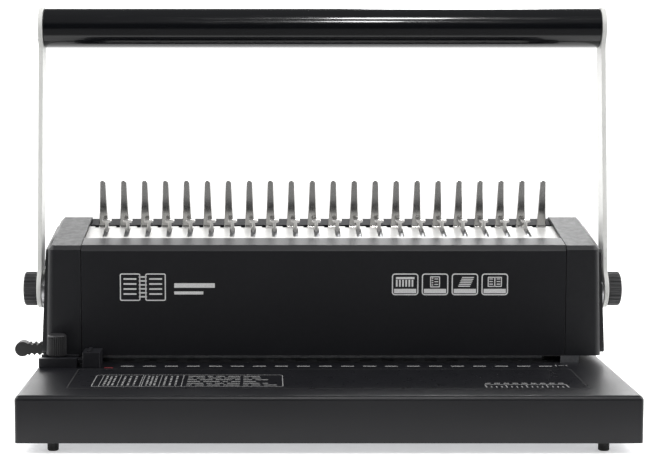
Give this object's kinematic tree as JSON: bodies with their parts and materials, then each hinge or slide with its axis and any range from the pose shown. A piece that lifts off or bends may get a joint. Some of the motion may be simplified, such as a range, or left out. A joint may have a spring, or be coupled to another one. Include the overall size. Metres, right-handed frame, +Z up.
{
  "type": "comb binding machine",
  "caption": "Tabletop comb binder: one handle punches 21 slots when pulled forward and opens plastic combs on a row of fingers when pushed back.",
  "frame": {"origin": "on the table, under the middle of the base", "axes": "+X to the operator's right, +Y to the back, +Z up"},
  "size_m": [0.4036, 0.225, 0.2688],
  "materials": {
    "body_paint": "semi-matt black powder coat",
    "black_plastic": "fine-textured black plastic",
    "panel_black": "semi-matt black paint",
    "knob_plastic": "black moulded plastic, fluted",
    "nickel": "bright nickel plate",
    "arm_paint": "pale grey gloss paint",
    "grip_gloss": "gloss black",
    "fasteners": "zinc plated",
    "black_screws": "black oxide",
    "rubber": "matt",
    "bronze": "sintered bronze",
    "zinc_steel": "zinc-plated sheet",
    "machined_steel": "ground and oiled",
    "spring_steel": "drawn wire"
  },
  "bodies": {
    "frame": {"base_housing": "body_paint", "bottom_plate": "zinc_steel", "bushing_left": "bronze", "bushing_right": "bronze", "carriage_guides": "zinc_steel", "comb_deck": "nickel", "deck_rivets": "fasteners", "die_plate": "machined_steel", "drawer_rails": "zinc_steel", "end_cap_left": "black_plastic", "end_cap_right": "black_plastic", "finger_bar": "nickel", "foot_screws": "fasteners", "frame_bolts": "fasteners", "front_cover": "body_paint", "guide_plate": "machined_steel", "guide_rail": "black_plastic", "panel_screws": "black_screws", "plate_screws": "fasteners", "rear_cover": "body_paint", "rear_screws": "fasteners", "return_springs": "spring_steel", "rubber_feet": "rubber", "side_frame_left": "zinc_steel", "side_frame_right": "zinc_steel", "side_panel_left": "panel_black", "side_panel_right": "panel_black", "throat_spacers": "zinc_steel"},
    "comb_opener": {"opener_gear_left": "machined_steel", "opener_gear_right": "machined_steel", "opener_dog_left": "machined_steel", "opener_dog_right": "machined_steel", "opener_tie_rod": "machined_steel"},
    "handle": {"handle_arm_left": "arm_paint", "handle_arm_right": "arm_paint", "grip_bar": "grip_gloss", "grip_plug_left": "grip_gloss", "grip_plug_right": "grip_gloss", "grip_screws": "fasteners"},
    "punch_shaft": {"main_shaft": "machined_steel", "punch_pinion_left": "machined_steel", "punch_pinion_right": "machined_steel"},
    "punch": {"punch_bar": "machined_steel", "punch_pins": "machined_steel", "punch_rack_left": "machined_steel", "punch_rack_right": "machined_steel"},
    "hook_slider": {"hook_carriage": "zinc_steel", "comb_hooks": "nickel"},
    "knob_left": {"pivot_knob_left": "knob_plastic"},
    "knob_right": {"pivot_knob_right": "knob_plastic"},
    "drawer": {"chip_drawer": "black_plastic"},
    "margin_gauge": {"back_gauge": "zinc_steel", "margin_lever": "black_plastic"},
    "sheet_stop": {"edge_stop": "black_plastic"},
    "stop_knob": {"edge_knob": "knob_plastic"}
  },
  "joints": [
    {"name": "comb_opening_swing", "type": "hinge", "parent": "frame", "child": "comb_opener", "pos_m": [0, 0.0255, 0.0805], "axis": [1, 0, 0], "range_deg": [-50, 0]},
    {"name": "punch_swing", "type": "hinge", "parent": "comb_opener", "child": "handle", "pos_m": [0, 0.0255, 0.0805], "axis": [1, 0, 0], "range_deg": [0, 75]},
    {"name": "punch_shaft_turn", "type": "hinge", "parent": "frame", "child": "punch_shaft", "pos_m": [0, 0.0255, 0.0805], "axis": [1, 0, 0], "range_deg": [0, 75]},
    {"name": "punch_stroke", "type": "slide", "parent": "frame", "child": "punch", "axis": [0, 0, -1], "range_m": [0, 0.0131], "deforming": ["return_springs"]},
    {"name": "hook_slide", "type": "slide", "parent": "frame", "child": "hook_slider", "axis": [0, -0.9848, -0.1736], "range_m": [0, 0.018]},
    {"name": "knob_left_turn", "type": "hinge", "parent": "punch_shaft", "child": "knob_left", "pos_m": [-0.1948, 0.0255, 0.0805], "axis": [-1, 0, 0], "continuous": true},
    {"name": "knob_right_turn", "type": "hinge", "parent": "punch_shaft", "child": "knob_right", "pos_m": [0.1948, 0.0255, 0.0805], "axis": [1, 0, 0], "continuous": true},
    {"name": "drawer_slide", "type": "slide", "parent": "frame", "child": "drawer", "axis": [0, 1, 0], "range_m": [0, 0.1]},
    {"name": "margin_slide", "type": "slide", "parent": "frame", "child": "margin_gauge", "axis": [0, 1, 0], "range_m": [-0.002, 0.0025]},
    {"name": "stop_slide", "type": "slide", "parent": "frame", "child": "sheet_stop", "axis": [1, 0, 0], "range_m": [-0.003, 0.005]},
    {"name": "stop_knob_turn", "type": "hinge", "parent": "frame", "child": "stop_knob", "pos_m": [-0.1734, -0.0116, 0.0484], "axis": [0, 0, 1], "continuous": true}
  ],
  "couplings": [
    {"joint": "punch_shaft_turn", "follows": "punch_swing", "ratio": 1},
    {"joint": "punch_stroke", "follows": "punch_swing", "m_per_rad": 0.01},
    {"joint": "hook_slide", "follows": "comb_opening_swing", "m_per_rad": -0.020625}
  ]
}
